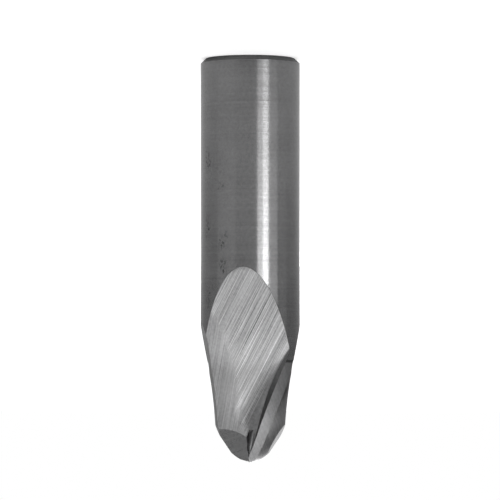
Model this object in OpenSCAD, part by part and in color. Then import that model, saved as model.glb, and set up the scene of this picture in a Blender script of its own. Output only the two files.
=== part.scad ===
// Two-flute ball nose end mill in one solid piece.
// It stands on the end of its shank, ball upwards; the origin is the middle of the shank's end face.
// Heads are drawn with x across, y towards the open flute and d the depth below the tip.

/* [Shank] */
// Diameter of the shank, mm
shank_d = 20; // [19:0.5:21]
// Width and height of the chamfer at the end of the shank, mm
shank_chamfer = 1; // [0.5:0.1:1.5]

/* [Lengths] */
// Overall length, mm
total_l = 81.5; // [76:0.5:100]
// Length of each flute with its run-out, measured from the tip, mm
flute_l = 39.1; // [37:0.1:41]
// Length of each cutting edge, measured from the tip, mm
cut_l = 20.6; // [19.6:0.1:21]

/* [Ball and flank] */
// Radius of the ball, mm
ball_r = 7.5; // [7.3:0.1:7.7]
// Angle of the flank to the axis, degrees
flank_angle = 10; // [9:0.25:10.5]
// Turn of the cutting edge for each mm along the axis, degrees
edge_turn = 2.4; // [2.2:0.05:2.5]
// How far each edge runs past the middle at the tip, mm
past_middle = 0.28; // [0.24:0.01:0.3]

/* [Primary land] */
// Width of the land at the tip, mm
land_w = 1.85; // [1.6:0.05:2.1]
// Growth of that width for each mm away from the tip
land_growth = 0.085; // [0.06:0.005:0.1]
// Offset of the land's round from the axis at the tip, mm
tip_relief = 1.6; // [1.4:0.05:1.7]
// The same offset along the flank, mm
flank_relief = 0.4; // [0.3:0.05:0.6]
// Step from the land down to the relief behind it, mm
land_step = 0.1; // [0.05:0.01:0.15]
// Height of the small shoulder at the shank end of the land, mm
shoulder_l = 0.5; // [0.3:0.05:0.7]

// Direction beyond which the land does not reach, degrees from the middle of the flute
land_limit = 63.5; // [61:0.5:64]

/* [Relief behind the land] */
// Depth below the tip at which the relief leaves the shank, mm
relief_l = 28.2; // [27:0.1:29]
// Direction in which the relief first leaves the shank, degrees from the middle of the flute
relief_turn = 95; // [93:0.5:97]
// Radius that the heel would reach far from the shank, mm
heel_r = 6.6; // [6.5:0.05:6.8]
// Length over which the heel falls away from the shank, mm
heel_fall = 9.9; // [9.4:0.1:10.4]
// Height of the bulge of the relief at the ball, mm
relief_bulge = 1.5; // [1.2:0.05:1.6]

/* [Flute] */
// Half of the thickness of the core, mm
core_h = 3.75; // [3.6:0.05:3.9]
// Rise of the flute floor towards the shank
ramp_rise = 0.315; // [0.3:0.005:0.33]
// Turn of the flute floor about the axis, degrees
floor_turn = 8; // [6:0.5:10]
// Height of the crown across the floor beside the ball, mm
floor_crown = 0.42; // [0.2:0.02:0.5]
// Length along the floor of the fillet between floor and wall, mm
fillet_floor = 5; // [4:0.5:6]
// Height up the wall of that fillet, mm
fillet_wall = 1.3; // [1:0.1:1.6]
// Rake angle of the cutting face, degrees
rake = 5; // [3:0.5:7]
// Share of the flute wall that the cutting face takes
rake_share = 0.6; // [0.5:0.05:0.7]

/* [Gash at the tip] */
// Depth below the tip at which the gash runs out into the flute, mm
gash_l = 6.6; // [6.2:0.1:7]
// Rise of the bottom of the gash for each mm of depth below the tip
gash_rise = 0.565; // [0.54:0.005:0.58]
// Lean of the outer wall of the gash, degrees
gash_lean = 38; // [34:1:42]

/* [End facets] */
// Direction of the side facet of each tooth, degrees from the middle of the flute
side_turn = 81.7; // [80:0.1:84]
// Tilt of the side facet towards the tip, degrees
side_tilt = 30.5; // [29:0.1:32]
// Distance of the side facet from the tip, mm
side_dist = 2.21; // [2.1:0.01:2.4]
// Direction of the back facet of each tooth, degrees from the middle of the flute
back_turn = 159.5; // [158:0.1:161]
// Tilt of the back facet towards the tip, degrees
back_tilt = 36.2; // [35:0.1:37.5]
// Distance of the back facet from the tip, mm
back_dist = 0.03; // [0.02:0.01:0.1]

/* [Hidden] */
shank_r = shank_d / 2;
// Radius of the plain parts of the head, a hair inside the shank's
inside = 0.004;
over_r = shank_r - inside;
// Depth left off at the very tip, where the two edges cross
tip_off = 0.08;
// The head begins inside the shank, and both ends lie a little below the flutes
head_under = 0.6;
shank_under = 0.2;
head_d = flute_l + head_under;
shank_l = total_l + tip_off - flute_l - shank_under;
tangent_d = ball_r * (1 - sin(flank_angle));
tangent_r = ball_r * cos(flank_angle);
core_d = flute_l - (shank_r - core_h) / ramp_rise;
// Depth below the tip where the floor begins to sink with the end facets
sink_d = 4.5;
// Smallest gap between neighbouring points, and smallest rounding of the flute's corner
hair = 0.02;
corner = 0.25;
// How soft the change is from the core to the ramp
ramp_soft = 0.35;
// Depth over which the offset of the land's round changes
relief_change = 14;
// Heel: how far outside heel_r it lies at the depth heel_d
heel_out = 2.8;
heel_d = 23.8;
heel_gap = 0.4;
// Flat of the relief's run-out: half its angle and its turn grow with the root of the distance from relief_l
run_curve = 13.25;
run_swing = 0.75;
run_slope = 0.0267;
run_min = 0.6;
// Bulge of the relief: depth where it ends, length over which it grows, and how
bulge_d = 23.5;
bulge_l = 16;
bulge_power = 1.3;
// Floor's corner: its place across the flute at gash_l, its slope and its curve
gullet_at = 0.36;
gullet_slope = 0.33;
gullet_curve = 0.0103;
gullet_gap = 0.12;
// Bottom of the gash at the tip: place and lean
gash_x = -0.27;
gash_y = 0.1;
gash_drift = 0.015;
// Crown of the floor: share lost away from the ball, over what length, and its limit as a share of the width
crown_loss = 0.65;
crown_l = 16;
crown_limit = 1 / 12;
// Length over which the fillet grows and ends
fillet_l = 4;
// Depth over which the edges keep running past the middle, and over which the tip opens out
past_l = 3;
tip_l = 0.6;
// Plane that keeps the back facet clear of the other edge: its tilt and its distance from that edge
edge_tilt = -1.72;
edge_clear = 0.03;
// Depths below the tip from which the rings lie closer together, beside the ball and at the tip
ball_rings_d = 7.4;
tip_rings_d = 1.4;
// Points along each stretch of half a ring
land_n = 10;
relief_n = 7;
back_n = 7;
floor_n = 4;
corner_n = 4;
rake_n = 2;
wall_n = 2;
half_n = land_n + relief_n + back_n + floor_n + corner_n + wall_n + rake_n + 1;
cut_size = 2 * shank_d;

function bound(x) = min(1, max(0, x));
function mix(a, b, s) = a + (b - a) * s;
function soft(x, w) = (x + sqrt(x * x + 4 * w * w)) / 2;
function polar(r, a) = [r * sin(a), r * cos(a)];
function dot(a, b) = a[0] * b[0] + a[1] * b[1];
function unit(p) = p / norm(p);

// Radius on which the cutting edge lies
function cone_r(d) = min(shank_r, tangent_r + (d - tangent_d) * tan(flank_angle));
function tooth_r(d) = d < tangent_d ? sqrt(2 * ball_r * d - d * d) : cone_r(d);
function on_land(d) = bound((cut_l - d) / shoulder_l);
function edge_r(d) = mix(over_r, tooth_r(d), on_land(d));

// Offset of the round of the land, and how far that round still reaches near the tip
function relief(d) = mix(tip_relief, flank_relief, bound(d / relief_change)) * on_land(d);
function reach(d) = norm([edge_r(d), tip_relief]) - tip_relief;
function sink(d) = min(1, reach(d) / reach(sink_d));
function ball_sink(d) = min(1, reach(d) / reach(ball_r));

// Flute floor: its distance from the axis and its own directions
function ramp_h(d) = core_h + soft(ramp_rise * (d - core_d), ramp_soft);
function floor_h(d) = min(over_r * cos(run_min), ramp_h(d)) * sink(d);
floor_out = polar(1, -floor_turn);
floor_along = [floor_out[1], -floor_out[0]];

// Turn of the cutting edge, or of the side of the flute where it runs out in the shank
function edge_a(d) = min(edge_turn * max(0, d - 1), acos(floor_h(d) / over_r) - floor_turn);
function past(d) = [-past_middle * max(0, 1 - pow(d / past_l, 3)), 0];
function edge_p(d) = past(d) + polar(edge_r(d), edge_a(d));

// Heel of the tooth
function heel_rad(d) = min(over_r, heel_r + heel_out * exp((d - heel_d) / heel_fall)) * ball_sink(d);
function heel_a(d) = 180 - floor_turn - acos(floor_h(d) / heel_rad(d));

// Run-out of the relief in the shank: a flat whose distance from the axis shrinks towards the tip
function run_share(d) = d < relief_l ? cos(run_curve * sqrt(relief_l - d)) : 1 + run_slope * (d - relief_l);
function run_h(d) = shank_r * run_share(d);
function run_a(d) = relief_turn + run_swing * sqrt(max(0, relief_l - d));
function run_half(d) = acos(min(cos(run_min), run_h(d) / over_r));
function front_a(d) = run_a(d) - run_half(d);

// Land: part of a round that passes through the edge
function land_mid(d) = past(d) - relief(d) * polar(1, edge_a(d) + 90);
function land_rad(d) = norm([edge_r(d), relief(d)]);
function land_from(d) = edge_a(d) + atan(relief(d) / edge_r(d));
function land_span(d) = 2 * asin(min(0.8, (land_w + land_growth * d) / 2 / land_rad(d)));
function tooth_to(d) = min(land_from(d) + land_span(d), edge_a(d) + 90, land_limit);
function land_to(d) = d > cut_l ? front_a(d) : mix(front_a(d), tooth_to(d), on_land(d));
function land_p(d, s) = land_mid(d) + polar(land_rad(d), mix(land_from(d), land_to(d), s));

// Relief behind the land, bulging a little outwards, with its far side on the shank or at the heel
function relief_from(d) = land_p(d, 1) * (1 - land_step * on_land(d) / max(3, norm(land_p(d, 1))));
function relief_end_a(d) = min(heel_a(d) - heel_gap, run_a(d) + run_half(d));
function relief_to(d) = polar(heel_rad(d), relief_end_a(d));
function bulge(d) = relief_bulge * pow(bound((bulge_d - d) / bulge_l), bulge_power) * ball_sink(d);
function relief_p(d, s) =
    let (a = relief_from(d), b = relief_to(d), n = unit([a[1] - b[1], b[0] - a[0]]))
    mix(a, b, s) + n * bulge(d) * 4 * s * (1 - s);
function back_p(d, s) = polar(heel_rad(d), mix(relief_end_a(d), heel_a(d), s));

// Flute: heel of the other tooth, floor, gash, lower wall and cutting face
function gullet_s(d) = gullet_at + gullet_slope * (d - gash_l) + gullet_curve * pow(d - gash_l, 2);
function floor_p(d, s) = floor_out * floor_h(d) + floor_along * s;
function wall_s(d) = dot(edge_p(d), floor_along) - gullet_gap;
function gash_p(d) = [gash_x + gash_drift * d, gash_y + gash_rise * d];
function deep_p(d) =
    d > gash_l ? floor_p(d, min(gullet_s(d), wall_s(d))) :
    let (g = gash_p(d), over = dot(g, floor_out) - floor_h(d)) g - floor_out * max(0, over);
function lip_p(d) =
    let (g = deep_p(d), w = polar(1, -gash_lean))
    g + w * (hair + max(0, floor_h(d) - dot(g, floor_out)) / dot(w, floor_out));
function heel_p(d) = -polar(heel_rad(d), heel_a(d));
function floor_w(d) = norm(lip_p(d) - heel_p(d));
function crown(d) =
    min(floor_crown * (1 - crown_loss * bound((d - gash_l) / crown_l)), floor_w(d) * crown_limit);
function floor_at(d, s) = mix(heel_p(d), lip_p(d), s) + floor_out * crown(d) * 4 * s * (1 - s);
function bend_p(d) =
    let (e = edge_p(d), l = rake_share * norm(e - deep_p(d)))
    e - polar(l, max(edge_a(d) - rake, -gash_lean));

function wall_at(d, s) = mix(deep_p(d), bend_p(d), s);

// Fillet between the floor and the wall, from a point on the floor to one on the wall
function fillet(d) = bound((d - gash_l) / fillet_l) * bound((cut_l - d) / fillet_l);
function lead_s(d) = min(0.6, max(corner, fillet_floor * fillet(d)) / floor_w(d));
function rise_s(d) = min(0.8, max(corner / 2, fillet_wall * fillet(d)) / norm(bend_p(d) - deep_p(d)));
function corner_p(d, t) =
    let (u = 1 - t, a = floor_at(d, 1 - lead_s(d)), b = wall_at(d, rise_s(d)))
    u * u * u * a + 3 * u * u * t * lip_p(d) + 3 * u * t * t * deep_p(d) + t * t * t * b;

// Inner points between the land and the next edge: at the very tip they lie on a straight line
function tip_mix(d) = bound((d - tip_off) / tip_l);
function inner(d) = concat(
    [for (i = [0 : relief_n]) relief_p(d, i / relief_n)],
    [for (i = [1 : back_n]) back_p(d, i / back_n)],
    [for (i = [1 : floor_n]) -floor_at(d, (1 - lead_s(d)) * i / floor_n)],
    [for (i = [1 : corner_n]) -corner_p(d, i / corner_n)],
    [for (i = [1 : wall_n - 1]) -wall_at(d, mix(rise_s(d), 1, i / wall_n))],
    [for (i = [0 : rake_n - 1]) -mix(bend_p(d), edge_p(d), i / rake_n)]
);
function half_ring(d) =
    let (k = inner(d), a = land_p(d, 1), b = -edge_p(d), n = len(k))
    concat(
        [for (i = [0 : land_n]) land_p(d, i / land_n)],
        [for (i = [0 : n - 1]) mix(mix(a, b, (i + 1) / (n + 1)), k[i], tip_mix(d))]
    );
function even_ring(d) = [for (i = [0 : half_n - 1]) polar(over_r, edge_a(d) + 180 * i / half_n)];
function ring(d) = let (h = d > flute_l ? even_ring(d) : half_ring(d)) concat(h, [for (p = h) -p]);

// Depths of the rings, closer together where the shape changes fast
depths = concat(
    [head_d],
    [for (i = [0 : 10]) mix(flute_l, relief_l, i / 11)],
    [for (i = [0 : 10]) mix(relief_l, cut_l, i / 11)],
    [cut_l, cut_l - shoulder_l],
    [for (i = [1 : 12]) mix(cut_l - shoulder_l, ball_rings_d, i / 13)],
    [for (i = [0 : 11]) mix(ball_rings_d, tip_rings_d, i / 12)],
    [tip_rings_d, 1.05, 0.8, 0.55, 0.35, 0.2, tip_off]
);

// Fluted head before its end facets are ground
module head_blank() {
    rings = [for (d = depths) ring(d)];
    n = len(rings[0]);
    m = len(rings);
    points = [for (j = [0 : m - 1]) for (p = rings[j]) [p[0], p[1], total_l + tip_off - depths[j]]];
    sides = [for (j = [0 : m - 2]) for (i = [0 : n - 1])
        let (a = j * n + i, b = j * n + (i + 1) % n, c = a + n, e = b + n)
        each [[a, b, c], [b, e, c]]];
    bottom = [for (i = [0 : n - 1]) n - 1 - i];
    top = [for (i = [0 : n - 1]) (m - 1) * n + i];
    polyhedron(points = points, faces = concat(sides, [bottom, top]), convexity = 6);
}

// Everything beyond a plane that leans towards the tip
module beyond(turn, tilt, dist) {
    translate([0, 0, total_l + tip_off])
    rotate([0, 0, -turn])
    rotate([tilt - 90, 0, 0])
    translate([-cut_size / 2, -cut_size / 2, dist])
    cube(cut_size);
}

module tooth_facets() {
    beyond(side_turn, side_tilt, side_dist);
    intersection() {
        beyond(back_turn, back_tilt, back_dist);
        beyond(90, edge_tilt, past_middle + edge_clear);
    }
}

// Plain shank with a chamfered end
module shank() {
    rotate_extrude($fn = 128)
    polygon([
        [0, 0],
        [shank_r - shank_chamfer, 0],
        [shank_r, shank_chamfer],
        [shank_r, shank_l],
        [0, shank_l]
    ]);
}

// Fluted head with its end facets, brought to its height above the plane where it begins
module head() {
    translate([0, 0, total_l + tip_off - head_d])
    resize([0, 0, head_d - tip_off])
    translate([0, 0, head_d - total_l - tip_off])
    difference() {
        head_blank();
        tooth_facets();
        rotate([0, 0, 180])
        tooth_facets();
    }
}

module end_mill() {
    color([0.55, 0.55, 0.57])
    rotate([0, 0, 180]) {
        shank();
        head();
    }
}

end_mill();
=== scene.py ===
import math

import bmesh
import bpy
import numpy as np
from mathutils import Matrix, Vector


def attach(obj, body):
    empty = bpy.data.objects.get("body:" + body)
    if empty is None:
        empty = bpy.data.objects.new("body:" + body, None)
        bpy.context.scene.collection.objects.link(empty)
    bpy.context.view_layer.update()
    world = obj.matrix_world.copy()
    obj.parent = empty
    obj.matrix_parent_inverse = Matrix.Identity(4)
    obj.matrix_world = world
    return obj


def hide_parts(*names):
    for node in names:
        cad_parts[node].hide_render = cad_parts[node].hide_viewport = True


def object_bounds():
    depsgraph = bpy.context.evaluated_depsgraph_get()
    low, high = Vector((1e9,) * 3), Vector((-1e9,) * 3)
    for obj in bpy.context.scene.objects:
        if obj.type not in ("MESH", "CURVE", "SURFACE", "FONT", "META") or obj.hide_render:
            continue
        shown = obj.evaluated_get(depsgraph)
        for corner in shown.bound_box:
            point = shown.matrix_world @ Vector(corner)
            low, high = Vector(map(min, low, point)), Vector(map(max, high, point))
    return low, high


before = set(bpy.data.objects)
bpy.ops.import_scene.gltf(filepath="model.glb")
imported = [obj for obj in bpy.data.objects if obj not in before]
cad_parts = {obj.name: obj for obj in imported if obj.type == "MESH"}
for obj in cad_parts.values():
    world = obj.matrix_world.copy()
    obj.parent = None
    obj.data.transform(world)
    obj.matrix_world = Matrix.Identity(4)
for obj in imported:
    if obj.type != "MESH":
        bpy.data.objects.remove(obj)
cad_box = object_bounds()

# A ball nose end mill that stands on the end of its shank, ball upwards. Sizes are in mm and degrees.
# Its sections are drawn with x across, y towards the open flute and the depth below the tip.
# turned() brings them into the frame, where the viewer of the photograph is on the side of -y.
MM = 0.001
MM_PER_M = 1000

# Shank: its radius and the overall length come from the solid's own box
SHANK_R = round(cad_box[1][0] * MM_PER_M, 2)
TOTAL_L = round(cad_box[1][2] * MM_PER_M, 2)
CHAMFER = 1.0
# What is left off at the very tip, where the two edges cross, and the height that the tip would reach
TIP_OFF = 0.08
TIP_Z = TOTAL_L + TIP_OFF

# Depths at which the flute, the cutting edge, the relief and the gash end
FLUTE_L = 39.1
CUT_L = 20.6
RELIEF_L = 28.2
GASH_L = 6.6
# Depths over which the edges run past the middle, the tip opens out and the fillet grows
PAST_L = 3
TIP_L = 0.6
FILLET_L = 4

# Ball, flank, and how far each edge runs past the middle
BALL_R = 7.5
FLANK = 10.0
PAST = 0.28
# Turn of the edge for each mm, and the depth where it begins
EDGE_TURN = 2.4
TURN_FROM = 1
TANGENT_D = BALL_R * (1 - math.sin(math.radians(FLANK)))
TANGENT_R = BALL_R * math.cos(math.radians(FLANK))

# Land: width at the tip, growth for each mm, direction beyond which it doesn't reach, and the largest sine
# of half its span
LAND_W = 1.85
LAND_GROWTH = 0.085
LAND_LIMIT = 63.5
SPAN_LIMIT = 0.8
# Step from the land down to the relief, the radius from which it is whole, and the shoulder at the land's end
LAND_STEP = 0.1
STEP_R = 3.0
SHOULDER = 0.5
# Offset of the land's round from the axis at the tip and along the flank, and the depth over which it changes
TIP_RELIEF = 1.6
FLANK_RELIEF = 0.4
RELIEF_CHANGE = 14

# Run-out of the relief: a flat whose half angle and turn grow with the root of the distance from RELIEF_L
RELIEF_TURN = 95.0
RUN_CURVE = 13.25
RUN_SWING = 0.75
RUN_SLOPE = 0.0267
RUN_MIN = 0.6
# Bulge of the relief: height, depth where it ends, length over which it grows, and how
BULGE = 1.5
BULGE_D = 23.5
BULGE_L = 16
BULGE_POWER = 1.3
# Heel: radius far from the shank, how far outside it lies at HEEL_D, length of its fall, gap to the relief
HEEL_R = 6.6
HEEL_OUT = 2.8
HEEL_D = 23.8
HEEL_FALL = 9.9
HEEL_GAP = 0.4

# Floor of the flute: half of the core, rise towards the shank, softness and depth of the change between
# them, and turn about the axis
CORE_H = 3.75
RAMP = 0.315
RAMP_SOFT = 0.35
CORE_D = FLUTE_L - (SHANK_R - CORE_H) / RAMP
FLOOR_TURN = 8.0
# Smallest half angle of the flute's mouth, and the depth from which the floor keeps its height
MOUTH_MIN = 0.1
SINK_D = 4.5
# Crown across the floor: height, share lost away from the ball, from what depth and over what length; then
# its limits, the floor's width divided by a number and a share of the room under the shank's round
CROWN = 0.42
CROWN_LOSS = 0.65
CROWN_D = 7
CROWN_L = 16
CROWN_SPANS = 12
CROWN_ROOM = 0.8
# Corner of the floor: its place across the flute at GASH_L, its slope and curve, its gap to the edge and the
# share of the way from the heel to the edge that it keeps where the flute runs out
CORNER_AT = 0.36
CORNER_SLOPE = 0.33
CORNER_CURVE = 0.0103
CORNER_GAP = 0.12
CORNER_SHARE = 0.9
# Fillet in that corner: lengths along the floor and up the wall, and their limits as shares of both
FILLET_FLOOR = 5.0
FILLET_WALL = 1.3
FILLET_FLOOR_LIMIT = 0.6
FILLET_WALL_LIMIT = 0.9
# Cutting face: rake angle, and its share of the wall
RAKE = 5.0
RAKE_SHARE = 0.6
# Gash at the tip: place and drift of its bottom, rise for each mm, lean of its outer wall
GASH_X = -0.27
GASH_Y = 0.1
GASH_DRIFT = 0.015
GASH_RISE = 0.565
GASH_LEAN = 38.0
# Smallest gap between neighbouring points of a section, and a distance too small to matter
HAIR = 0.02
NEAR = 1e-6

# End facets: direction from the middle of the flute, tilt towards the tip, distance from the tip
SIDE_FACET = (81.7, 30.5, 2.21)
BACK_FACET = (159.5, 36.2, 0.03)
# Plane that keeps the back facet clear of the other edge
EDGE_PLANE = (90, -1.72, PAST + 0.03)
# Cubes that reach beyond the facets
CUBE = 40
# Pocket that the gashing wheel leaves beside each edge: x, y and depth of its two ends, then how wide and
# deep it is to each side of its middle line, and how far outwards that line lies
POCKET_TIP = (-0.16, 1.2, 2.0)
POCKET_TOP = (0.95, 4.05, 7.2)
POCKET_WIDE = 0.9
POCKET_DEEP = 0.62
POCKET_OUT = 0.24
POCKET_SEGMENTS = (64, 48)

# Points along each stretch of half a ring, and along the fillet while it is worked out
LAND_N = 30
RELIEF_N = 24
BACK_N = 18
FLOOR_N = 26
WALL_N = 8
RAKE_N = 12
FILLET_N = 24
COLUMNS = ["land"] * LAND_N + ["relief"] * (RELIEF_N + 1) + ["back"] * BACK_N
COLUMNS += ["floor"] * FLOOR_N + ["wall"] * (WALL_N + 1) + ["rake"] * RAKE_N
# Rings: distances from FLUTE_L and from RELIEF_L of those that lie close together, and how far off the
# evenly spaced ones begin and end; then their steps, and the ball's angles: first, last and step
FLUTE_RINGS = (0, 0.04, 0.1, 0.18, 0.28, 0.4)
FLUTE_RINGS_L = 0.55
RELIEF_RINGS = (0.2, 0.08, 0, -0.02, -0.08, -0.18)
RELIEF_RINGS_UP = 0.4
RELIEF_RINGS_DOWN = 0.3
RING_STEP_FLUTE = 0.35
RING_STEP_RELIEF = 0.3
RING_STEP_LAND = 0.25
BALL_RING_ANGLES = (78, 9, -1.6)
BALL_RINGS_GAP = 0.1
SHANK_RINGS = 16
LAST_RING = 0.06

# Corners closer together than this, in m, become one
WELD = 2e-6
# A corner between only two edges goes where they turn by less than this, in radians
STRAIGHT = 0.45
# A face this close to a surface counts as lying on it
CLOSE = 0.01
# Edges that turn by more than this are sharp
SHARP = 12
# Kinds of surface. A zone's number is twice the place of its kind here, and one more on the second tooth
KINDS = ["land", "relief", "back", "floor", "wall", "rake", "plain", "end",
         "side_facet", "back_facet", "edge_facet", "pocket"]


def sind(angle):
    return math.sin(math.radians(angle))


def cosd(angle):
    return math.cos(math.radians(angle))


def acosd(x):
    return math.degrees(math.acos(max(-1.0, min(1.0, x))))


def bound(x):
    return min(1.0, max(0.0, x))


def mix(a, b, share):
    return a + (b - a) * share


def polar(radius, angle):
    """A point at a direction from +y, or an array of them."""
    angle = np.radians(angle)
    return np.stack([radius * np.sin(angle), radius * np.cos(angle)], axis=-1)


def arched(a, b, out, height, shares):
    """Points between a and b that bulge outwards."""
    s = shares[:, None]
    return mix(a, b, s) + out * (height * 4 * s * (1 - s))


FLOOR_OUT = polar(1.0, -FLOOR_TURN)
FLOOR_ALONG = np.array([FLOOR_OUT[1], -FLOOR_OUT[0]])


# The cutting edge

def tooth_radius(depth):
    if depth < TANGENT_D:
        return math.sqrt(max(0.0, 2 * BALL_R * depth - depth * depth))
    return min(SHANK_R, TANGENT_R + (depth - TANGENT_D) * math.tan(math.radians(FLANK)))


def on_land(depth):
    """1 along the land, 0 above its shoulder."""
    return bound((CUT_L - depth) / SHOULDER)


def edge_radius(depth):
    return mix(SHANK_R, tooth_radius(depth), on_land(depth))


def grown(depth, full_depth):
    """How far the section has grown from nothing at the tip to its full size at full_depth."""
    def reach(at):
        return math.hypot(edge_radius(at), TIP_RELIEF) - TIP_RELIEF
    return min(1.0, reach(depth) / reach(full_depth))


def floor_height(depth):
    """Distance of the flute's floor from the axis."""
    rise = RAMP * (depth - CORE_D)
    height = CORE_H + (rise + math.sqrt(rise * rise + 4 * RAMP_SOFT**2)) / 2
    return min(SHANK_R * cosd(MOUTH_MIN), height) * grown(depth, SINK_D)


def edge_angle(depth):
    """Direction of the edge, or of the flute's side where it runs out in the shank."""
    return min(EDGE_TURN * max(0.0, depth - TURN_FROM), acosd(floor_height(depth) / SHANK_R) - FLOOR_TURN)


def past_middle(depth):
    return np.array([-PAST * max(0.0, 1 - (depth / PAST_L) ** 3), 0.0])


def edge_point(depth):
    return past_middle(depth) + polar(edge_radius(depth), edge_angle(depth))


# The outside of a tooth: land, relief and the back that reaches to the heel

def runout_sides(depth):
    """Directions of the two sides of the flat on which the relief runs out in the shank."""
    if depth < RELIEF_L:
        height = SHANK_R * cosd(RUN_CURVE * math.sqrt(RELIEF_L - depth))
    else:
        height = SHANK_R * (1 + RUN_SLOPE * (depth - RELIEF_L))
    middle = RELIEF_TURN + RUN_SWING * math.sqrt(max(0.0, RELIEF_L - depth))
    half = acosd(min(cosd(RUN_MIN), height / SHANK_R))
    return middle - half, middle + half


def land_points(depth):
    """Part of a round that passes through the edge."""
    radius, turn, on = edge_radius(depth), edge_angle(depth), on_land(depth)
    relief = mix(TIP_RELIEF, FLANK_RELIEF, bound(depth / RELIEF_CHANGE)) * on
    middle = past_middle(depth) - relief * polar(1.0, turn + 90)
    land_radius = math.hypot(radius, relief)
    start = turn + math.degrees(math.atan2(relief, radius))
    half_span = min(SPAN_LIMIT, (LAND_W + LAND_GROWTH * depth) / 2 / land_radius)
    tooth_end = min(start + 2 * math.degrees(math.asin(half_span)), turn + 90, LAND_LIMIT)
    front = runout_sides(depth)[0]
    end = front if depth > CUT_L else mix(front, tooth_end, on)
    return middle + polar(land_radius, mix(start, end, np.linspace(0, 1, LAND_N + 1)))


def heel_radius(depth):
    return min(SHANK_R, HEEL_R + HEEL_OUT * math.exp((depth - HEEL_D) / HEEL_FALL)) * grown(depth, BALL_R)


def heel_angle(depth):
    return 180 - FLOOR_TURN - acosd(floor_height(depth) / heel_radius(depth))


def relief_points(depth, land_end):
    """The relief behind the land, bulging a little, and the back of the tooth as far as the heel."""
    start = land_end * (1 - LAND_STEP * on_land(depth) / max(STEP_R, np.linalg.norm(land_end)))
    end_angle = min(heel_angle(depth) - HEEL_GAP, runout_sides(depth)[1])
    end = polar(heel_radius(depth), end_angle)
    out = np.array([start[1] - end[1], end[0] - start[0]])
    out = out / np.linalg.norm(out)
    bulge = BULGE * bound((BULGE_D - depth) / BULGE_L) ** BULGE_POWER * grown(depth, BALL_R)
    relief = arched(start, end, out, bulge, np.linspace(0, 1, RELIEF_N + 1))
    back_angles = mix(end_angle, heel_angle(depth), np.linspace(0, 1, BACK_N + 1)[1:])
    return relief, polar(heel_radius(depth), back_angles)


# The flute: floor, corner, wall and cutting face

def corner_across(depth):
    """Distance of the floor's corner from the flute's middle, along the floor."""
    return CORNER_AT + CORNER_SLOPE * (depth - GASH_L) + CORNER_CURVE * (depth - GASH_L) ** 2


def deep_point(depth):
    """The wall's foot: the floor's corner, or the bottom of the gash."""
    height = floor_height(depth)
    if depth <= GASH_L:
        gash = np.array([GASH_X + GASH_DRIFT * depth, GASH_Y + GASH_RISE * depth])
        return gash - FLOOR_OUT * max(0.0, gash @ FLOOR_OUT - height)
    edge = edge_point(depth) @ FLOOR_ALONG
    heel = -math.sqrt(max(0.0, heel_radius(depth) ** 2 - height**2))
    foot = max(edge - CORNER_GAP, mix(heel, edge, CORNER_SHARE))
    return FLOOR_OUT * height + FLOOR_ALONG * min(corner_across(depth), foot)


def lip_point(depth, deep):
    """Where the gash's outer wall meets the floor, a hair beside the wall's foot when there is no gash."""
    lean = polar(1.0, -GASH_LEAN)
    return deep + lean * (HAIR + max(0.0, floor_height(depth) - deep @ FLOOR_OUT) / (lean @ FLOOR_OUT))


def path_lengths(path):
    """Distance of each point of a path from its start."""
    return np.concatenate([[0], np.cumsum(np.linalg.norm(np.diff(path, axis=0), axis=1))])


def path_points(path, lengths, at):
    return np.column_stack([np.interp(at, lengths, path[:, i]) for i in (0, 1)])


def filleted(start, floor, wall, deep, bend, share):
    """The floor and the wall with the grinding wheel's round corner between them."""
    floor_part = min(FILLET_FLOOR * share, FILLET_FLOOR_LIMIT * np.linalg.norm(floor[-1] - start))
    wall_part = min(FILLET_WALL * share, FILLET_WALL_LIMIT * np.linalg.norm(bend - deep))
    path = np.concatenate([[start], floor, wall[1:], [bend]])
    lengths = path_lengths(path)
    corner = lengths[FLOOR_N]
    before = path_points(path, lengths, corner - floor_part)
    after = path_points(path, lengths, corner + wall_part)
    t = np.linspace(0, 1, FILLET_N + 1)[:, None]
    arc = (1 - t) ** 2 * before + 2 * t * (1 - t) * deep + t * t * after
    kept_floor = path[lengths < corner - floor_part - NEAR]
    kept_wall = path[lengths > corner + wall_part + NEAR]
    path = np.concatenate([kept_floor, arc, kept_wall])
    lengths = path_lengths(path)
    middle = corner * lengths[-1] / (corner + np.linalg.norm(bend - deep))
    floor_at = np.linspace(0, middle, FLOOR_N + 1)[1:]
    wall_at = np.linspace(middle, lengths[-1], WALL_N + 1)[:-1]
    both = path_points(path, lengths, np.concatenate([floor_at, wall_at]))
    return both[:FLOOR_N], both[FLOOR_N:]


def flute_points(depth):
    """Points of the floor, the wall and the cutting face, from the other tooth's heel to the edge."""
    edge, deep = edge_point(depth), deep_point(depth)
    lip = lip_point(depth, deep)
    start = -polar(heel_radius(depth), heel_angle(depth))
    crown = min(
        CROWN * (1 - CROWN_LOSS * bound((depth - CROWN_D) / CROWN_L)),
        np.linalg.norm(lip - start) / CROWN_SPANS,
        CROWN_ROOM * (SHANK_R - floor_height(depth)),
    )
    floor = arched(start, lip, FLOOR_OUT, crown, np.arange(1, FLOOR_N + 1) / FLOOR_N)
    rake_length = RAKE_SHARE * np.linalg.norm(edge - deep)
    bend = edge - polar(rake_length, max(edge_angle(depth) - RAKE, -GASH_LEAN))
    wall = mix(deep, bend, (np.arange(WALL_N) / WALL_N)[:, None])
    rake = mix(bend, edge, (np.arange(RAKE_N) / RAKE_N)[:, None])
    share = bound((depth - GASH_L) / FILLET_L) * bound((CUT_L - depth) / FILLET_L)
    if share > 0:
        floor, wall = filleted(start, floor, wall, deep, bend, share)
    return floor, wall, rake


# The blank: rings of points joined to a closed surface

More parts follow.
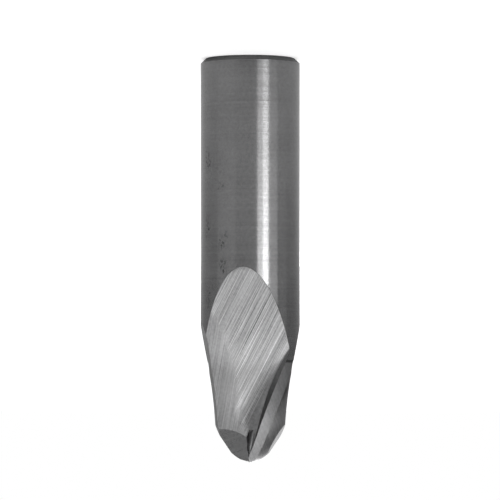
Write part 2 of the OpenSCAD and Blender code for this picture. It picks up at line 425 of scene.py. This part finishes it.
def half_ring(depth):
    """One tooth's half of the section; at the very tip its inner points lie on a straight line."""
    land = land_points(depth)
    relief, back = relief_points(depth, land[-1])
    floor, wall, rake = flute_points(depth)
    rest = np.concatenate([relief, back, -floor, -wall, -rake])
    shares = (np.arange(1, len(rest) + 1) / (len(rest) + 1))[:, None]
    straight = mix(land[-1], -edge_point(depth), shares)
    half = np.concatenate([land, mix(straight, rest, bound((depth - TIP_OFF) / TIP_L))])
    return half * np.minimum(1, SHANK_R / np.linalg.norm(half, axis=1))[:, None]


def evenly(first, last, step):
    """Depths from the first to just before the last."""
    return list(np.linspace(first, last, max(2, round(abs(last - first) / step) + 1)))[:-1]


def ring_depths():
    """Depths of the head's rings, from the shank to the tip."""
    depths = [FLUTE_L - gap for gap in FLUTE_RINGS]
    depths += evenly(FLUTE_L - FLUTE_RINGS_L, RELIEF_L + RELIEF_RINGS_UP, RING_STEP_FLUTE)
    depths += [RELIEF_L + gap for gap in RELIEF_RINGS]
    depths += evenly(RELIEF_L - RELIEF_RINGS_DOWN, CUT_L, RING_STEP_RELIEF)
    depths += [CUT_L]
    depths += evenly(CUT_L - SHOULDER, GASH_L, RING_STEP_LAND)
    depths += [GASH_L]
    ball = [BALL_R * (1 - cosd(angle)) for angle in np.arange(*BALL_RING_ANGLES)]
    depths += [depth for depth in ball if depth < GASH_L - BALL_RINGS_GAP]
    return depths + [TIP_OFF]


def zone_number(kind, half):
    return 2 * KINDS.index(kind) + half


def face_kind(ring, shank_rings, column):
    if ring == 0:
        return "end"
    return "plain" if ring < shank_rings else COLUMNS[column]


def blank():
    """Points, faces and zones of the tool before its end facets and pockets are cut."""
    head = []
    for depth in ring_depths():
        half = half_ring(depth)
        head.append((TIP_Z - depth, np.concatenate([half, -half])))
    first = head[0][1]
    turn = np.arctan2(first[:, 0], first[:, 1])
    circle = np.stack([np.sin(turn), np.cos(turn)], axis=1)
    head_z = TIP_Z - FLUTE_L
    heights = list(np.linspace(CHAMFER, head_z, SHANK_RINGS)[:-1]) + [head_z - LAST_RING, head_z]
    shank = [(0.0, circle * (SHANK_R - CHAMFER))] + [(z, circle * SHANK_R) for z in heights]
    rings = shank + head[1:]
    count = len(first)
    points = np.concatenate([np.column_stack([ring, np.full(count, z)]) for z, ring in rings])
    faces, zones = [], []
    for j in range(len(rings) - 1):
        for i in range(count):
            a = j * count + i
            b = j * count + (i + 1) % count
            half, column = divmod(i, len(COLUMNS))
            faces.append((a, a + count, b + count, b))
            zones.append(zone_number(face_kind(j, len(shank) - 1, column), half))
    faces.append(tuple(range(count)))
    zones.append(zone_number("end", 0))
    faces.append(tuple(reversed(range((len(rings) - 1) * count, len(rings) * count))))
    zones.append(zone_number("land", 0))
    return points, faces, zones


def turned(points):
    """From the section's frame to the part's, in metres."""
    return points * [-1, -1, 1] * MM


def put(name, data):
    """A new object in the scene."""
    made = bpy.data.objects.new(name, data)
    bpy.context.scene.collection.objects.link(made)
    return made


# The cutters of the end facets and the pockets

def cutter_object(name, bm):
    mesh = bpy.data.meshes.new(name)
    bm.to_mesh(mesh)
    bm.free()
    return put(name, mesh)


def plane_matrix(turn, tilt, distance, half):
    """A plane that leans towards the tip, as a matrix whose z is its normal."""
    lean = Matrix.Rotation(math.radians(-turn), 4, "Z") @ Matrix.Rotation(math.radians(tilt - 90), 4, "X")
    lean = Matrix.Rotation(math.pi * half, 4, "Z") @ Matrix.Translation((0, 0, TIP_Z)) @ lean
    return lean @ Matrix.Translation((0, 0, distance))


def plane_normal(plane):
    return (plane.to_3x3() @ Vector((0, 0, 1))).normalized()


def facet_cutter(kind, planes, half):
    """The space beyond all the planes; its face on the first one grinds the facet."""
    first = plane_matrix(*planes[0], half)
    bm = bmesh.new()
    bmesh.ops.create_cube(bm, size=CUBE, matrix=first @ Matrix.Translation((0, 0, CUBE / 2)))
    for values in planes[1:]:
        plane = plane_matrix(*values, half)
        cut = bmesh.ops.bisect_plane(
            bm,
            geom=bm.verts[:] + bm.edges[:] + bm.faces[:],
            plane_co=plane.translation,
            plane_no=plane_normal(plane),
            clear_inner=True,
        )
        edges = [item for item in cut["geom_cut"] if isinstance(item, bmesh.types.BMEdge)]
        bmesh.ops.contextual_create(bm, geom=edges)
    bmesh.ops.recalc_face_normals(bm, faces=bm.faces)
    for face in bm.faces:
        off = (face.calc_center_median() - first.translation).dot(plane_normal(first))
        face.material_index = zone_number(kind if abs(off) < CLOSE else "edge_facet", half)
    for vert in bm.verts:
        vert.co = Vector((-vert.co.x, -vert.co.y, vert.co.z)) * MM
    return cutter_object(f"{kind}_cut_{half}", bm)


def pocket_cutter(half):
    """A long ellipsoid that lies half sunk along the bottom of the gash."""
    tip, top = (Vector((x, y, TIP_Z - depth)) for x, y, depth in (POCKET_TIP, POCKET_TOP))
    along = (top - tip).normalized()
    across = along.cross(Vector((0, 1, 0))).normalized()
    out = across.cross(along)
    out = out if out.y > 0 else -out
    place = Matrix((across, out, along)).transposed().to_4x4()
    place.translation = (tip + top) / 2 + out * POCKET_OUT
    size = Matrix.Diagonal((POCKET_WIDE, POCKET_DEEP, (top - tip).length / 2, 1))
    bm = bmesh.new()
    bmesh.ops.create_uvsphere(bm, u_segments=POCKET_SEGMENTS[0], v_segments=POCKET_SEGMENTS[1], radius=1)
    bm.transform(Matrix.Rotation(math.pi * (1 + half), 4, "Z") @ place @ size)
    bm.transform(Matrix.Scale(MM, 4))
    bmesh.ops.recalc_face_normals(bm, faces=bm.faces)
    for face in bm.faces:
        face.material_index = zone_number("pocket", half)
    return cutter_object(f"pocket_cut_{half}", bm)


def cut_tool(tool, cutters):
    """Take the cutters' space off the tool, clean the corners that this leaves, and remove the cutters."""
    for cutter in cutters:
        for material in tool.data.materials:
            cutter.data.materials.append(material)
        modifier = tool.modifiers.new("cut", "BOOLEAN")
        modifier.operation = "DIFFERENCE"
        modifier.solver = "MANIFOLD"
        modifier.object = cutter
        modifier.material_mode = "INDEX"
    evaluated = tool.evaluated_get(bpy.context.evaluated_depsgraph_get())
    mesh = bpy.data.meshes.new_from_object(evaluated)
    tool.modifiers.clear()
    tool.data = mesh
    for cutter in cutters:
        bpy.data.objects.remove(cutter)
    bm = bmesh.new()
    bm.from_mesh(mesh)
    bmesh.ops.dissolve_degenerate(bm, dist=WELD, edges=bm.edges)
    lone = [vert for vert in bm.verts if len(vert.link_edges) == 2 and vert.calc_edge_angle() < STRAIGHT]
    bmesh.ops.dissolve_verts(bm, verts=lone)
    bm.to_mesh(mesh)
    bm.free()


def mesh_points(mesh):
    """Points of a mesh, in mm."""
    points = np.empty(len(mesh.vertices) * 3)
    mesh.vertices.foreach_get("co", points)
    return points.reshape(-1, 3) * MM_PER_M


def face_numbers(mesh, name):
    """A whole number of each face, such as its zone or its count of corners."""
    numbers = np.empty(len(mesh.polygons), dtype=np.int32)
    mesh.polygons.foreach_get(name, numbers)
    return numbers


def face_zones(mesh):
    """Zone of each face. What lies on the shank's round is plain, in whichever column it was made."""
    zones = face_numbers(mesh, "material_index")
    radius = np.hypot(*mesh_points(mesh)[:, :2].T)
    for i, face in enumerate(mesh.polygons):
        outside = KINDS[zones[i] // 2] in ("land", "relief", "back")
        if outside and min(radius[v] for v in face.vertices) > SHANK_R - CLOSE:
            zones[i] = zone_number("plain", zones[i] % 2)
    return zones


points, faces, blank_zones = blank()
mesh = bpy.data.meshes.new("end_mill_surface")
mesh.from_pydata(turned(points).tolist(), [], faces)
for i in range(2 * len(KINDS)):
    mesh.materials.append(bpy.data.materials.new(f"zone_{i}"))
mesh.polygons.foreach_set("material_index", blank_zones)
tool = put("end_mill_surface", mesh)
cutters = []
for half in (0, 1):
    cutters.append(facet_cutter("side_facet", [SIDE_FACET], half))
    cutters.append(facet_cutter("back_facet", [BACK_FACET, EDGE_PLANE], half))
    cutters.append(pocket_cutter(half))
cut_tool(tool, cutters)
mesh = tool.data
zones = face_zones(mesh)
mesh.shade_smooth()
mesh.set_sharp_from_angle(angle=math.radians(SHARP))

# Texture coordinates, in mm, along and across the grinding

# Lean of the scratches from upright: main and steeper pass in the flute, cutting face, outside of a tooth
MAIN_TURN = 27.5
STEEP_TURN = 10.0
RAKE_TURN = 14.0
LAND_TURN = -27.0
# Where the scratches of the main pass end and the steeper ones beside the heel begin: depth and x
PASS_D = (5.1, 11.1, 16.0, 21.6, 27.3, 33.0)
PASS_X = (-1.45, -1.84, -2.28, -3.64, -5.66, -9.0)
# Radius inside which the grain of the lands stays as wide, lean of the facets' grain, shift between the teeth
GRAIN_MIN_R = 2.0
FACET_LEAN = (0.3, 0.5)
TOOTH_SHIFT = 37.3


def corner_points(mesh, zones):
    """For each corner of each face: x, y and depth in the frame of its own half, its kind and its half."""
    vertex = np.empty(len(mesh.loops), dtype=np.int32)
    mesh.loops.foreach_get("vertex_index", vertex)
    zone = np.repeat(zones, face_numbers(mesh, "loop_total"))
    points = mesh_points(mesh)[vertex] * [-1, -1, 1]
    points[:, 2] = TIP_Z - points[:, 2]
    points[:, :2] *= np.where(zone % 2 == 1, -1.0, 1.0)[:, None]
    return points, zone // 2, zone % 2


def angles_round(mesh, points, halves):
    """Angle round the axis of each corner, kept whole within a face at the seam behind, in radians."""
    around = np.arctan2(points[:, 0], points[:, 1]) + np.pi * halves
    first = face_numbers(mesh, "loop_start")
    middle = np.arctan2(np.add.reduceat(np.sin(around), first), np.add.reduceat(np.cos(around), first))
    middle = np.repeat(middle, face_numbers(mesh, "loop_total"))
    return middle + np.mod(around - middle + math.pi, 2 * math.pi) - math.pi


def lines_uv(x, depth, turn):
    """Coordinates along and across scratches that lean by turn from upright."""
    return np.column_stack([x * sind(turn) + depth * cosd(turn), x * cosd(turn) - depth * sind(turn)])


def grind_uv(mesh, points, kinds, halves):
    """Along and across the grinding marks of each kind of surface."""
    uv = np.zeros((len(points), 2))
    around = angles_round(mesh, points, halves)
    for number, name in enumerate(KINDS):
        here = kinds == number
        x, y, depth = points[here].T
        if name in ("plain", "end", "back"):
            uv[here] = np.column_stack([around[here] * SHANK_R, depth])
        elif name in ("floor", "wall", "rake"):
            # These columns were made with their sign turned: their own flute opens towards +y
            uv[here] = lines_uv(-x, depth, RAKE_TURN if name == "rake" else MAIN_TURN)
        elif name in ("land", "relief"):
            arc = np.arctan2(x, y) * np.maximum(np.hypot(x, y), GRAIN_MIN_R)
            uv[here] = lines_uv(arc, depth, LAND_TURN)
        else:
            uv[here] = np.column_stack([x + y * FACET_LEAN[0], depth + y * FACET_LEAN[1]])
    uv[:, 0] += TOOTH_SHIFT * halves * (kinds != KINDS.index("plain"))
    return uv


def place_uv(points, kinds):
    """Angle from the flute's middle and depth; in a flute, distance from its corner and the pass's end."""
    x, y, depth = points.T
    place = np.column_stack([np.degrees(np.arctan2(x, y)), depth])
    flute = np.isin(kinds, [KINDS.index("floor"), KINDS.index("wall")])
    place[flute, 0] = -points[flute, :2] @ FLOOR_ALONG - corner_across(depth[flute])
    place[flute, 1] = -x[flute] - np.interp(depth[flute], PASS_D, PASS_X)
    return place


points, kinds, halves = corner_points(mesh, zones)
layers = {
    "grind": grind_uv(mesh, points, kinds, halves),
    "place": place_uv(points, kinds),
    "steep": lines_uv(-points[:, 0], points[:, 2], STEEP_TURN),
}
for layer in list(mesh.uv_layers):
    mesh.uv_layers.remove(layer)
for name, uv in layers.items():
    mesh.uv_layers.new(name=name).data.foreach_set("uv", uv.ravel())

# Materials

# Most of a noise lies between the first two values, and single scratches show where it is higher
NOISE = (0.3, 0.7)
# The light single scratches are real grain whose lighter tone paints their glints
LIGHT_SCRATCH = (0.60, 0.68)
DARK_SCRATCH = (0.62, 0.70)
# Noises of broad, fine, light and dark scratches: place where it is taken, detail, roughness
BROAD = ((0.0, 0.0), 2.0, 0.55)
FINE = ((5.3, 1.7), 3.0, 0.7)
LIGHT = ((9.1, 4.4), 1.0, 0.5)
DARK = ((3.7, 20.4), 1.0, 0.5)
# Soft mottling and its finer kind: changes per mm along and across, then as above
CLOUD = ((0.12, 0.15), (2.1, 8.8), 2.0, 0.5)
MOTTLE = ((1.7, 1.7), (7.7, 3.1), 2.0, 0.6)
CLOUD_SWING = 0.05
MOTTLE_SWING = 0.07
# Swing of the roughness, darkest tone, and how much bluer than grey the metal is
ROUGH_SWING = 0.04
TONE_MIN = 0.01
BLUE = 1.01
# Turn of the stretched reflections against the tangent, as a share of a full turn
GRAIN_ROTATION = 0.25
# Height of the light scratches beside that of the fine ones
LIGHT_HEIGHT = 0.7
# Factor ramps reach up to this
RAMP_TOP = 2.0


class Nodes:
    """Short names for building a node tree."""

    def __init__(self, tree):
        self.tree = tree

    def link(self, output, socket):
        self.tree.links.new(output, socket)

    def add(self, kind, **values):
        node = self.tree.nodes.new(kind)
        for name, value in values.items():
            setattr(node, name, value)
        return node

    def calc(self, operation, *values):
        """Output of a Math node; each value is a number or another node's output."""
        node = self.add("ShaderNodeMath", operation=operation)
        for i, value in enumerate(values):
            if isinstance(value, (int, float)):
                node.inputs[i].default_value = value
            else:
                self.link(value, node.inputs[i])
        return node.outputs[0]

    def plus(self, a, b):
        return self.calc("ADD", a, b)

    def minus(self, a, b):
        return self.calc("SUBTRACT", a, b)

    def times(self, a, b):
        return self.calc("MULTIPLY", a, b)

    def larger(self, a, b):
        return self.calc("MAXIMUM", a, b)

    def remap(self, x, low, high, to_low, to_high, smooth=False):
        """x brought from low..high to to_low..to_high, and kept inside."""
        node = self.add("ShaderNodeMapRange", interpolation_type="SMOOTHSTEP" if smooth else "LINEAR")
        for socket, value in zip(node.inputs[1:5], (low, high, to_low, to_high)):
            socket.default_value = value
        self.link(x, node.inputs[0])
        return node.outputs[0]

    def split(self, vector):
        node = self.add("ShaderNodeSeparateXYZ")
        self.link(vector, node.inputs[0])
        return node.outputs

    def layer(self, name):
        return self.add("ShaderNodeUVMap", uv_map=name).outputs[0]

    def mapped(self, scale, at, layer="grind"):
        """A layer of coordinates, scaled and then moved."""
        node = self.add("ShaderNodeMapping")
        node.inputs["Scale"].default_value = (*scale, 1)
        node.inputs["Location"].default_value = (*at, 0)
        self.link(self.layer(layer), node.inputs["Vector"])
        return node.outputs[0]

    def length(self, vector):
        node = self.add("ShaderNodeVectorMath", operation="LENGTH")
        self.link(vector, node.inputs[0])
        return node.outputs["Value"]

    def noise(self, scale, at, detail, rough, layer="grind"):
        """A noise on a layer of coordinates: scale is its changes per mm along and across."""
        node = self.add("ShaderNodeTexNoise", noise_dimensions="2D")
        node.inputs["Scale"].default_value = 1.0
        node.inputs["Detail"].default_value = detail
        node.inputs["Roughness"].default_value = rough
        self.link(self.mapped(scale, at, layer), node.inputs["Vector"])
        return node.outputs[0]

    def swing(self, noise, amount, middle=0.0):
        """A noise made to swing by an amount to each side of a middle value."""
        return self.remap(noise, *NOISE, middle - amount, middle + amount)

    def stops(self, x, points, smooth=False):
        """A factor that runs through (value of x, factor) points."""
        low, high = points[0][0], points[-1][0]
        node = self.add("ShaderNodeValToRGB")
        self.link(self.remap(x, low, high, 0, 1), node.inputs[0])
        node.color_ramp.interpolation = "B_SPLINE" if smooth else "LINEAR"
        elements = node.color_ramp.elements
        while len(elements) < len(points):
            elements.new(0.5)
        for element, (at, factor) in zip(elements, points):
            element.position = (at - low) / (high - low)
            element.color = (factor / RAMP_TOP, factor / RAMP_TOP, factor / RAMP_TOP, 1)
        return self.times(node.outputs[0], RAMP_TOP)

    def blend(self, share, a, b):
        """a where the share is 1, b where it is 0."""
        return self.plus(self.times(a, share), self.times(b, self.minus(1.0, share)))

    def faded(self, share, factor):
        """The factor where the share is 1, and 1 where it is 0."""
        return self.plus(1.0, self.times(share, self.minus(factor, 1.0)))

    def scratches(self, lines, swings, layer="grind"):
        """Tone factor around 1 of broad, fine and single scratches, and the fine and the light ones alone."""
        broad = self.noise(lines[0], *BROAD, layer)
        fine = self.noise(lines[1], *FINE, layer)
        light = self.noise(lines[2], *LIGHT, layer)
        dark = self.noise(lines[2], *DARK, layer)
        level = self.swing(broad, swings[0], 1)
        level = self.plus(level, self.swing(fine, swings[1]))
        # Painted glints along the light single scratches
        level = self.plus(level, self.remap(light, *LIGHT_SCRATCH, 0, swings[2], True))
        level = self.minus(level, self.remap(dark, *DARK_SCRATCH, 0, swings[3], True))
        return level, fine, light


# Flute: how far the main pass's end wanders and over what width it changes into the steeper pass, then
# that pass's swing beside the main one's and its tones from the heel to the main pass
PASS_WANDER = 4.0
PASS_CHANGE = (-0.8, 0.6)
STEEP_SWING = 0.5
# Painted shade: these tones darken the steeper pass towards the heel
STEEP_HEEL_SHADE = (-4, 0, 0.74, 0.95)
# Tone against depth; tone against the distance from the corner, the depths over which that fades out, and
# the depths over which it becomes narrower, up to twice
# Painted light and shade: the floor is lighter at middle depths and darker towards the shank
FLUTE_DEPTH_LIGHT_SHADE = ((4.0, 1.1), (12.0, 1.25), (18.0, 1.12), (26.0, 0.93), (37.0, 0.82))
# Painted shade: the floor darkens towards its corner with the wall
CORNER_PAINTED_SHADE = ((-4.2, 1.05), (-3.4, 1.0), (-2.7, 0.7), (-1.8, 0.64),
                (-0.9, 0.48), (-0.1, 0.44), (0.35, 0.48), (0.8, 0.6))
CORNER_FADE = (14, 21.5)
CORNER_NARROWER = (10, 19, 1, 2)


def flute_tone(nodes, level, fine, lines, swings):
    """Tone of the flute: two passes of scratches, the steeper one with painted shade towards the heel,
    painted shade in the corner and painted light and shade at each depth.
    """
    corner, past = nodes.split(nodes.layer("place"))[:2]
    steep = nodes.scratches(lines, [STEEP_SWING * swing for swing in swings], "steep")[0]
    steep = nodes.times(steep, nodes.remap(past, *STEEP_HEEL_SHADE))
    edge = nodes.plus(past, nodes.times(nodes.minus(fine, 0.5), PASS_WANDER))
    level = nodes.blend(nodes.remap(edge, *PASS_CHANGE, 0, 1, True), level, steep)
    along, across = nodes.split(nodes.layer("steep"))[:2]
    depth = nodes.minus(nodes.times(along, cosd(STEEP_TURN)), nodes.times(across, sind(STEEP_TURN)))
    level = nodes.times(level, nodes.stops(depth, FLUTE_DEPTH_LIGHT_SHADE))
    shade = nodes.stops(nodes.times(corner, nodes.remap(depth, *CORNER_NARROWER)), CORNER_PAINTED_SHADE, True)
    return nodes.times(level, nodes.faded(nodes.remap(depth, *CORNER_FADE, 1, 0, True), shade))


# Stained patches of the shank: distance round it from the front, depth, half width, half height, strength
STAINS = (
    (-10.20, 60.83, 1.1, 2.6, 0.5), (-8.07, 58.43, 4.5, 4.0, 0.16), (-6.22, 55.03, 1.0, 1.0, 0.4),
    (-10.20, 47.43, 1.1, 2.6, 0.55), (-8.37, 44.43, 4.5, 5.5, 0.12), (-5.04, 45.43, 0.5, 0.8, 0.5),
    (-6.10, 43.83, 0.9, 1.2, 0.45), (-5.86, 39.43, 0.9, 1.7, 0.6), (-5.27, 38.03, 0.5, 0.8, 0.5),
    (-10.01, 32.83, 1.1, 2.2, 0.5), (-8.07, 35.63, 2.0, 2.0, 0.15),
)
# A patch fades out between these shares of its size, and its specks are where a noise is high
STAIN_FADE = (0.4, 1.3)
SPECKS = ((2.4, 1.4), (0.0, 0.0), 3.0, 0.65)
SPECK_TONES = (0.5, 0.62, 0.12, 1)


def stained(nodes, level):
    """The tone with stained specks in soft elliptic patches."""
    patches = 0.0
    for around, depth, wide, high, strength in STAINS:
        distance = nodes.length(nodes.mapped((1 / wide, 1 / high), (-around / wide, -depth / high)))
        patches = nodes.plus(nodes.remap(distance, *STAIN_FADE, strength, 0, True), patches)
    specks = nodes.remap(nodes.noise(*SPECKS), *SPECK_TONES, True)
    return nodes.times(level, nodes.minus(1.0, nodes.times(specks, patches)))


# Painted light and shade by depth on a tooth's outside holds up to this angle from the flute's middle and
# fades beyond it
TOOTH_SIDE = (60, 80)
# Changes per mm along and across, of the broad, the fine and the single scratches
SHANK_LINES = ((0.02, 0.5), (0.05, 7.0), (0.01, 1.6))
FLUTE_LINES = ((0.02, 0.8), (0.05, 6.5), (0.03, 3.8))
FINE_LINES = ((0.05, 1.0), (0.15, 4.0), (0.05, 2.5))
# Painted light and shade on the outside of a tooth and on the cutting face: depth and factor
# The land is lighter near the tip and darker deeper, with a painted shade line in its shoulder's step
LAND_DEPTH_LIGHT_SHADE = ((1.5, 1.35), (2.4, 1.27), (4.4, 1.03), (6, 0.95), (8.5, 0.86), (10, 0.75), (12.6, 0.6),
              (15, 0.56), (19.9, 0.5), (20.15, 0.2), (20.5, 0.2), (20.7, 0.4))
# The relief has a painted dark reflection at middle depths
RELIEF_DEPTH_LIGHT_SHADE = ((3, 1.3), (7, 1.38), (9, 1.38), (12, 1.05), (13.2, 0.76),
                (14.4, 0.36), (16.0, 0.36), (17.6, 0.7))
# The cutting face gets lighter with depth
RAKE_DEPTH_LIGHT = ((7, 1.0), (9, 1.25), (12.3, 1.35), (14.3, 1.8), (16.3, 2.2), (18.3, 2.5), (20.6, 2.5))
# Tone, roughness, stretch of the reflections along the grain, scratches, how much the broad, fine, light
# and dark ones change the tone, and their height in m
# The one carbide gets a different tone on each kind of surface as painted light and shade: darkest on the
# cutting face, the end and the edge facets, brightest on the back
LOOKS = {
    "plain": (0.28, 0.18, 0.75, SHANK_LINES, (0.02, 0.07, 0.04, 0.04), 0.000004),
    "end": (0.24, 0.35, 0.3, FINE_LINES, (0.04, 0.05, 0, 0), 0.00001),
    "back": (0.66, 0.24, 0.6, FINE_LINES, (0.04, 0.05, 0, 0), 0.00001),
    "floor": (0.45, 0.46, 0.3, FLUTE_LINES, (0.08, 0.50, 0.40, 0.30), 0.00002),
    "wall": (0.45, 0.46, 0.3, FLUTE_LINES, (0.03, 0.07, 0.04, 0.04), 0.00002),
    # Painted shade: the cutting face is nearly black
    "rake": (0.085, 0.35, 0.3, FINE_LINES, (0.05, 0.06, 0, 0), 0.00001),
    "land": (0.44, 0.72, 0.0, FINE_LINES, (0.05, 0.13, 0, 0), 0.000006),
    "relief": (0.40, 0.42, 0.0, FINE_LINES, (0.05, 0.11, 0, 0), 0.000006),
    "side_facet": (0.52, 0.28, 0.3, FINE_LINES, (0.03, 0.04, 0, 0), 0.000001),
    "back_facet": (0.36, 0.30, 0.3, FINE_LINES, (0.04, 0.10, 0, 0), 0.000001),
    "edge_facet": (0.25, 0.30, 0.3, FINE_LINES, (0.03, 0.04, 0, 0), 0.000001),
    "pocket": (0.46, 0.42, 0.3, FINE_LINES, (0.05, 0.10, 0, 0), 0.000006),
}
PAINTED_DEPTH_SHADING = {"land": LAND_DEPTH_LIGHT_SHADE, "relief": RELIEF_DEPTH_LIGHT_SHADE, "rake": RAKE_DEPTH_LIGHT}


def ground(kind, tone, rough, grain, lines, swings, bump):
    """Ground carbide of one kind of surface."""
    material = bpy.data.materials.new("carbide_" + kind)
    material.use_nodes = True
    nodes = Nodes(material.node_tree)
    shader = material.node_tree.nodes["Principled BSDF"]
    level, fine, light = nodes.scratches(lines, swings)
    if kind in ("floor", "wall"):
        level = flute_tone(nodes, level, fine, lines, swings)
    level = nodes.plus(level, nodes.swing(nodes.noise(*CLOUD), CLOUD_SWING))
    level = nodes.plus(level, nodes.swing(nodes.noise(*MOTTLE), MOTTLE_SWING))
    if kind == "plain":
        level = stained(nodes, level)
    # Painted light and shade that change with depth
    if kind in PAINTED_DEPTH_SHADING:
        angle, depth = nodes.split(nodes.layer("place"))[:2]
        factor = nodes.stops(depth, PAINTED_DEPTH_SHADING[kind])
        level = nodes.times(level, nodes.faded(nodes.remap(angle, *TOOTH_SIDE, 1, 0, True), factor))
    level = nodes.larger(nodes.times(level, tone), TONE_MIN)
    colour = nodes.add("ShaderNodeCombineColor")
    nodes.link(level, colour.inputs[0])
    nodes.link(level, colour.inputs[1])
    nodes.link(nodes.times(level, BLUE), colour.inputs[2])
    nodes.link(colour.outputs[0], shader.inputs["Base Color"])
    nodes.link(nodes.swing(fine, ROUGH_SWING, rough), shader.inputs["Roughness"])
    shader.inputs["Metallic"].default_value = 1.0
    shader.inputs["Anisotropic"].default_value = grain
    shader.inputs["Anisotropic Rotation"].default_value = GRAIN_ROTATION
    tangent = nodes.add("ShaderNodeTangent", direction_type="UV_MAP", uv_map="grind")
    nodes.link(tangent.outputs[0], shader.inputs["Tangent"])
    height = nodes.add("ShaderNodeBump")
    height.inputs["Strength"].default_value = 1.0
    height.inputs["Distance"].default_value = bump
    nodes.link(nodes.plus(fine, nodes.times(light, LIGHT_HEIGHT)), height.inputs["Height"])
    nodes.link(height.outputs[0], shader.inputs["Normal"])
    return material


mesh.materials.clear()
for kind in KINDS:
    mesh.materials.append(ground(kind, *LOOKS[kind]))
mesh.polygons.foreach_set("material_index", zones // 2)

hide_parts("end_mill")
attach(tool, "root")

# Floor, room, lamps and camera, in metres

FLOOR_HALF = 6
FLOOR_COLOUR = (0.7, 0.7, 0.7, 1)
WHITE = (1, 1, 1, 1)
# Glow of the floor: from and to these distances from the tool, between these strengths. The weaker glow near
# the tool paints a soft shade around it, beside the shadow that the lamps cast there
FLOOR_GLOW = (0.05, 0.9, 0.6, 1.0)
# Where a mirror sees white behind the tool: width for each metre away, softness, lowest height
FLOOR_BEHIND = (0.1, 0.05, -0.1)
ROOM_BEHIND = (0.45, 0.06, 0.06)
# How far to the side a direction on the photograph's left counts, beside one on its right
LEFT_SHARE = 0.8
# Dim light of the room from the photograph's right to its left
ROOM_LIGHT = (-0.9, 0.6, 0.09, 0.27)
# Point that the lamps face
LAMPS_AT = Vector((0, 0, 0.045))


def seen_white(nodes, vector, wide, soft, low):
    """1 for the camera, and for mirror rays that leave behind the tool as the photograph shows it."""
    ray = nodes.add("ShaderNodeLightPath")
    x, y, z = nodes.split(vector)
    side = nodes.larger(nodes.times(x, LEFT_SHARE), nodes.times(x, -1.0))
    inside = nodes.calc("MINIMUM", nodes.minus(nodes.times(y, wide), side), nodes.minus(z, low))
    shiny = nodes.larger(ray.outputs["Is Glossy Ray"], ray.outputs["Is Transmission Ray"])
    shiny = nodes.times(shiny, nodes.remap(inside, 0, soft, 0, 1, True))
    return nodes.larger(ray.outputs["Is Camera Ray"], shiny)


def pale_floor():
    """A wide floor that looks white and still takes the tool's shadow."""
    material = bpy.data.materials.new("pale_floor")
    material.use_nodes = True
    nodes = Nodes(material.node_tree)
    shader = material.node_tree.nodes["Principled BSDF"]
    shader.inputs["Base Color"].default_value = FLOOR_COLOUR
    shader.inputs["Roughness"].default_value = 0.9
    shader.inputs["Specular IOR Level"].default_value = 0.1
    shader.inputs["Emission Color"].default_value = WHITE
    position = nodes.add("ShaderNodeNewGeometry").outputs["Position"]
    glow = nodes.remap(nodes.length(position), *FLOOR_GLOW, True)
    glow = nodes.times(glow, seen_white(nodes, position, *FLOOR_BEHIND))
    nodes.link(glow, shader.inputs["Emission Strength"])
    square = bpy.data.meshes.new("floor")
    corners = [(x * FLOOR_HALF, y * FLOOR_HALF, 0) for x, y in ((-1, -1), (1, -1), (1, 1), (-1, 1))]
    square.from_pydata(corners, [], [(0, 1, 2, 3)])
    square.materials.append(material)
    return put("floor", square)


def studio():
    """A room that is white to the camera and behind the tool, and dim in front of it."""
    world = bpy.data.worlds.new("studio")
    world.use_nodes = True
    nodes = Nodes(world.node_tree)
    background = world.node_tree.nodes["Background"]
    direction = nodes.add("ShaderNodeTexCoord").outputs["Generated"]
    dim = nodes.remap(nodes.split(direction)["X"], *ROOM_LIGHT, True)
    background.inputs["Color"].default_value = WHITE
    nodes.link(nodes.larger(seen_white(nodes, direction, *ROOM_BEHIND), dim), background.inputs["Strength"])
    return world


def lamp(name, azimuth, elevation, distance, width, height, power):
    """A soft lamp that faces the tool, at an azimuth towards the right of the photograph."""
    away = Vector((-sind(azimuth) * cosd(elevation), -cosd(azimuth) * cosd(elevation), sind(elevation)))
    away *= distance
    light = bpy.data.lights.new(name, "AREA")
    light.shape = "RECTANGLE"
    light.size = width
    light.size_y = height
    light.energy = power
    made = put(name, light)
    made.location = LAMPS_AT + away
    made.rotation_euler = (-away).to_track_quat("-Z", "Y").to_euler()
    made.visible_camera = False
    return made


floor = pale_floor()
bpy.context.scene.world = studio()

# Azimuth, elevation, distance, width, height, power in watts
lamp("key_strip", 36.5, 12, 0.9, 0.20, 0.8, 3.4)
lamp("key_soft", 24.3, 12, 0.9, 0.24, 0.8, 1.9)
lamp("side_near", 55, 12, 0.9, 0.35, 0.8, 0.75)
lamp("side_far", 82, 12, 0.9, 0.35, 0.8, 0.12)
lamp("side_left", -58, 12, 0.9, 0.8, 0.8, 0.45)
lamp("top_left", -20, 40, 1.1, 0.8, 0.8, 2.3)
lamp("back_strip", 180, 12, 0.9, 0.20, 0.8, 2.0)
back_top = lamp("back_top", 180, 50, 1.6, 1.6, 1.2, 12)
back_top.visible_glossy = False

# The camera stands level with the tip and is rolled half a turn, because the photograph has the tip below
CAMERA_AT = Vector((0.00005, -0.870, 0.0815))
CAMERA_AIM = Vector((0.00005, 0, 0.0387))
camera = put("camera", bpy.data.cameras.new("camera"))
camera.location = CAMERA_AT
upright = (CAMERA_AIM - CAMERA_AT).to_track_quat("-Z", "Y").to_matrix()
camera.rotation_euler = (upright @ Matrix.Rotation(math.pi, 3, "Z")).to_euler()
camera.data.lens = 310.8
camera.data.sensor_width = 36
camera.data.clip_start = 0.01
camera.data.clip_end = 50
bpy.context.scene.camera = camera
bpy.context.scene.view_settings.view_transform = "Standard"
